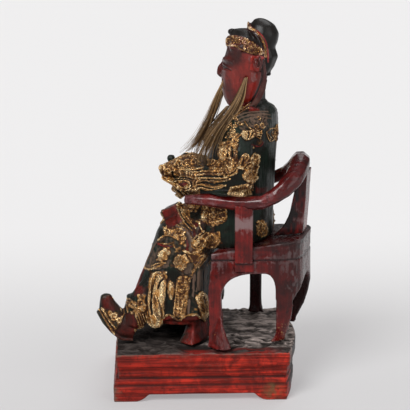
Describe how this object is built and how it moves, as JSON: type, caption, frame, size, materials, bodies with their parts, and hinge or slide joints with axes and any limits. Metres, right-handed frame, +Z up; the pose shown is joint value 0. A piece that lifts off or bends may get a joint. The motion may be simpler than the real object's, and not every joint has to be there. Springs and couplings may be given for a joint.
{
  "type": "seated dignitary statue",
  "caption": "Carved and lacquered wooden dignitary seated in a horseshoe armchair on a moulded plinth, one foot advanced, with real-hair beard tufts.",
  "frame": {"origin": "middle of the whole work's box, on its underside", "axes": "+Z up; -Y is the plinth's front, which the figure's toe points over; +X is the figure's left"},
  "size_m": [0.1914, 0.2846, 0.4828],
  "materials": {
    "cinnabar_wood": "worn red lacquer over grained wood, satin",
    "oxblood_wood": "dark red lacquer, glossy, rubbed grey on edges",
    "lacquered_wood": "black lacquer with worn gilt relief and red flesh, semi-gloss",
    "hair": "dry natural hair, matte"
  },
  "bodies": {
    "root": {"plinth": "cinnabar_wood", "chair": "oxblood_wood", "arm_rail": "oxblood_wood", "arm_post_left": "oxblood_wood", "arm_post_right": "oxblood_wood", "back_splat": "oxblood_wood", "figure": "lacquered_wood", "tuft_moustache_left": "hair", "tuft_moustache_right": "hair", "tuft_cheek_left": "hair", "tuft_cheek_right": "hair", "tuft_chin": "hair"}
  },
  "joints": []
}
